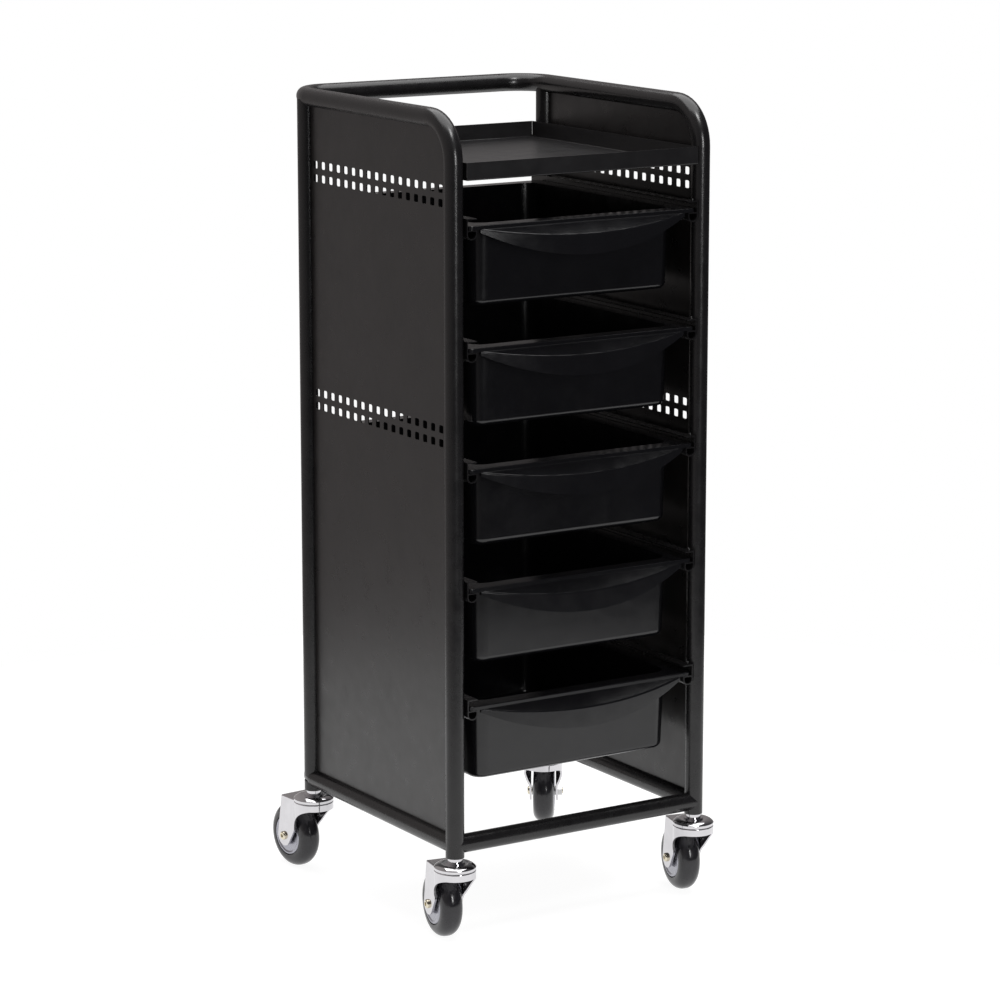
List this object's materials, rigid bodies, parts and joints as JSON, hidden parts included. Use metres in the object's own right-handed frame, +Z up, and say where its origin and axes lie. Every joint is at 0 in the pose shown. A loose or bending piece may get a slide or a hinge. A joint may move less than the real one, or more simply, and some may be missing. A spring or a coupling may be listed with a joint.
{
  "type": "rolling salon trolley",
  "caption": "Tall rolling trolley: bent-tube frame on swivel castors, perforated side panels, lipped top tray and slide-out plastic drawers with crescent pulls.",
  "frame": {"origin": "middle of the trolley's whole footprint, on the floor", "axes": "+X to the trolley's right, -Y out of the front where the drawers open, +Z up"},
  "size_m": [0.3868, 0.4136, 0.9053],
  "materials": {
    "frame_powder_coat": "satin black powder coat",
    "panel_powder_coat": "satin black powder coat",
    "tray_powder_coat": "satin black powder coat",
    "drawer_plastic": "black moulded plastic, low gloss",
    "chrome": "bright chrome plate",
    "axle_bolt_plated": "yellowish plated steel",
    "zinc_steel": "zinc plated",
    "tyre": "dark grey rubber",
    "wheel_core_plastic": "moulded grey plastic",
    "wheel_cover_metal": "satin silver",
    "wheel_bush_steel": "plain steel"
  },
  "bodies": {
    "frame": {"left_side_tube": "frame_powder_coat", "left_rear_post": "frame_powder_coat", "left_panel": "panel_powder_coat", "right_side_tube": "frame_powder_coat", "right_rear_post": "frame_powder_coat", "right_panel": "panel_powder_coat", "rear_top_tube": "frame_powder_coat", "bottom_tube": "frame_powder_coat", "front_cross_tube": "frame_powder_coat", "rear_castor_stubs": "frame_powder_coat", "tray": "tray_powder_coat", "left_guide_1": "frame_powder_coat", "right_guide_1": "frame_powder_coat", "left_guide_2": "frame_powder_coat", "right_guide_2": "frame_powder_coat", "left_guide_3": "frame_powder_coat", "right_guide_3": "frame_powder_coat", "left_guide_4": "frame_powder_coat", "right_guide_4": "frame_powder_coat", "left_guide_5": "frame_powder_coat", "right_guide_5": "frame_powder_coat", "guide_welds": "frame_powder_coat", "castor_bushes": "zinc_steel", "castor_stems": "chrome", "castor_cups": "chrome", "castor_balls": "zinc_steel"},
    "drawer_1": {"drawer_1": "drawer_plastic"},
    "drawer_2": {"drawer_2": "drawer_plastic"},
    "drawer_3": {"drawer_3": "drawer_plastic"},
    "drawer_4": {"drawer_4": "drawer_plastic"},
    "drawer_5": {"drawer_5": "drawer_plastic"},
    "front_left_swivel": {"front_left_fork": "chrome", "front_left_axle_bolt": "axle_bolt_plated", "front_left_axle_nut": "zinc_steel"},
    "front_left_wheel": {"front_left_tyre": "tyre", "front_left_wheel_core": "wheel_core_plastic", "front_left_wheel_bush": "wheel_bush_steel", "front_left_wheel_covers": "wheel_cover_metal"},
    "front_right_swivel": {"front_right_fork": "chrome", "front_right_axle_bolt": "axle_bolt_plated", "front_right_axle_nut": "zinc_steel"},
    "front_right_wheel": {"front_right_tyre": "tyre", "front_right_wheel_core": "wheel_core_plastic", "front_right_wheel_bush": "wheel_bush_steel", "front_right_wheel_covers": "wheel_cover_metal"},
    "rear_left_swivel": {"rear_left_fork": "chrome", "rear_left_axle_bolt": "axle_bolt_plated", "rear_left_axle_nut": "zinc_steel"},
    "rear_left_wheel": {"rear_left_tyre": "tyre", "rear_left_wheel_core": "wheel_core_plastic", "rear_left_wheel_bush": "wheel_bush_steel", "rear_left_wheel_covers": "wheel_cover_metal"},
    "rear_right_swivel": {"rear_right_fork": "chrome", "rear_right_axle_bolt": "axle_bolt_plated", "rear_right_axle_nut": "zinc_steel"},
    "rear_right_wheel": {"rear_right_tyre": "tyre", "rear_right_wheel_core": "wheel_core_plastic", "rear_right_wheel_bush": "wheel_bush_steel", "rear_right_wheel_covers": "wheel_cover_metal"}
  },
  "joints": [
    {"name": "drawer_1_slide", "type": "slide", "parent": "frame", "child": "drawer_1", "axis": [0, -1, 0], "range_m": [0, 0.25]},
    {"name": "drawer_2_slide", "type": "slide", "parent": "frame", "child": "drawer_2", "axis": [0, -1, 0], "range_m": [0, 0.25]},
    {"name": "drawer_3_slide", "type": "slide", "parent": "frame", "child": "drawer_3", "axis": [0, -1, 0], "range_m": [0, 0.25]},
    {"name": "drawer_4_slide", "type": "slide", "parent": "frame", "child": "drawer_4", "axis": [0, -1, 0], "range_m": [0, 0.25]},
    {"name": "drawer_5_slide", "type": "slide", "parent": "frame", "child": "drawer_5", "axis": [0, -1, 0], "range_m": [0, 0.25]},
    {"name": "front_left_castor_swivel", "type": "hinge", "parent": "frame", "child": "front_left_swivel", "pos_m": [-0.17001, -0.17855, 0.08585], "axis": [0, 0, 1], "continuous": true},
    {"name": "front_left_wheel_spin", "type": "hinge", "parent": "front_left_swivel", "child": "front_left_wheel", "pos_m": [-0.1639, -0.14206, 0.0375], "axis": [0.9863, -0.165, 0], "continuous": true},
    {"name": "front_right_castor_swivel", "type": "hinge", "parent": "frame", "child": "front_right_swivel", "pos_m": [0.14499, -0.17855, 0.08585], "axis": [0, 0, 1], "continuous": true},
    {"name": "front_right_wheel_spin", "type": "hinge", "parent": "front_right_swivel", "child": "front_right_wheel", "pos_m": [0.15331, -0.1425, 0.0375], "axis": [0.9744, -0.225, 0], "continuous": true},
    {"name": "rear_left_castor_swivel", "type": "hinge", "parent": "frame", "child": "rear_left_swivel", "pos_m": [-0.17001, 0.13245, 0.08585], "axis": [0, 0, 1], "continuous": true},
    {"name": "rear_left_wheel_spin", "type": "hinge", "parent": "rear_left_swivel", "child": "rear_left_wheel", "pos_m": [-0.17324, 0.16931, 0.0375], "axis": [0.9962, 0.0872, 0], "continuous": true},
    {"name": "rear_right_castor_swivel", "type": "hinge", "parent": "frame", "child": "rear_right_swivel", "pos_m": [0.14499, 0.13245, 0.08585], "axis": [0, 0, 1], "continuous": true},
    {"name": "rear_right_wheel_spin", "type": "hinge", "parent": "rear_right_swivel", "child": "rear_right_wheel", "pos_m": [0.16621, 0.16276, 0.0375], "axis": [0.8192, -0.5736, 0], "continuous": true}
  ]
}
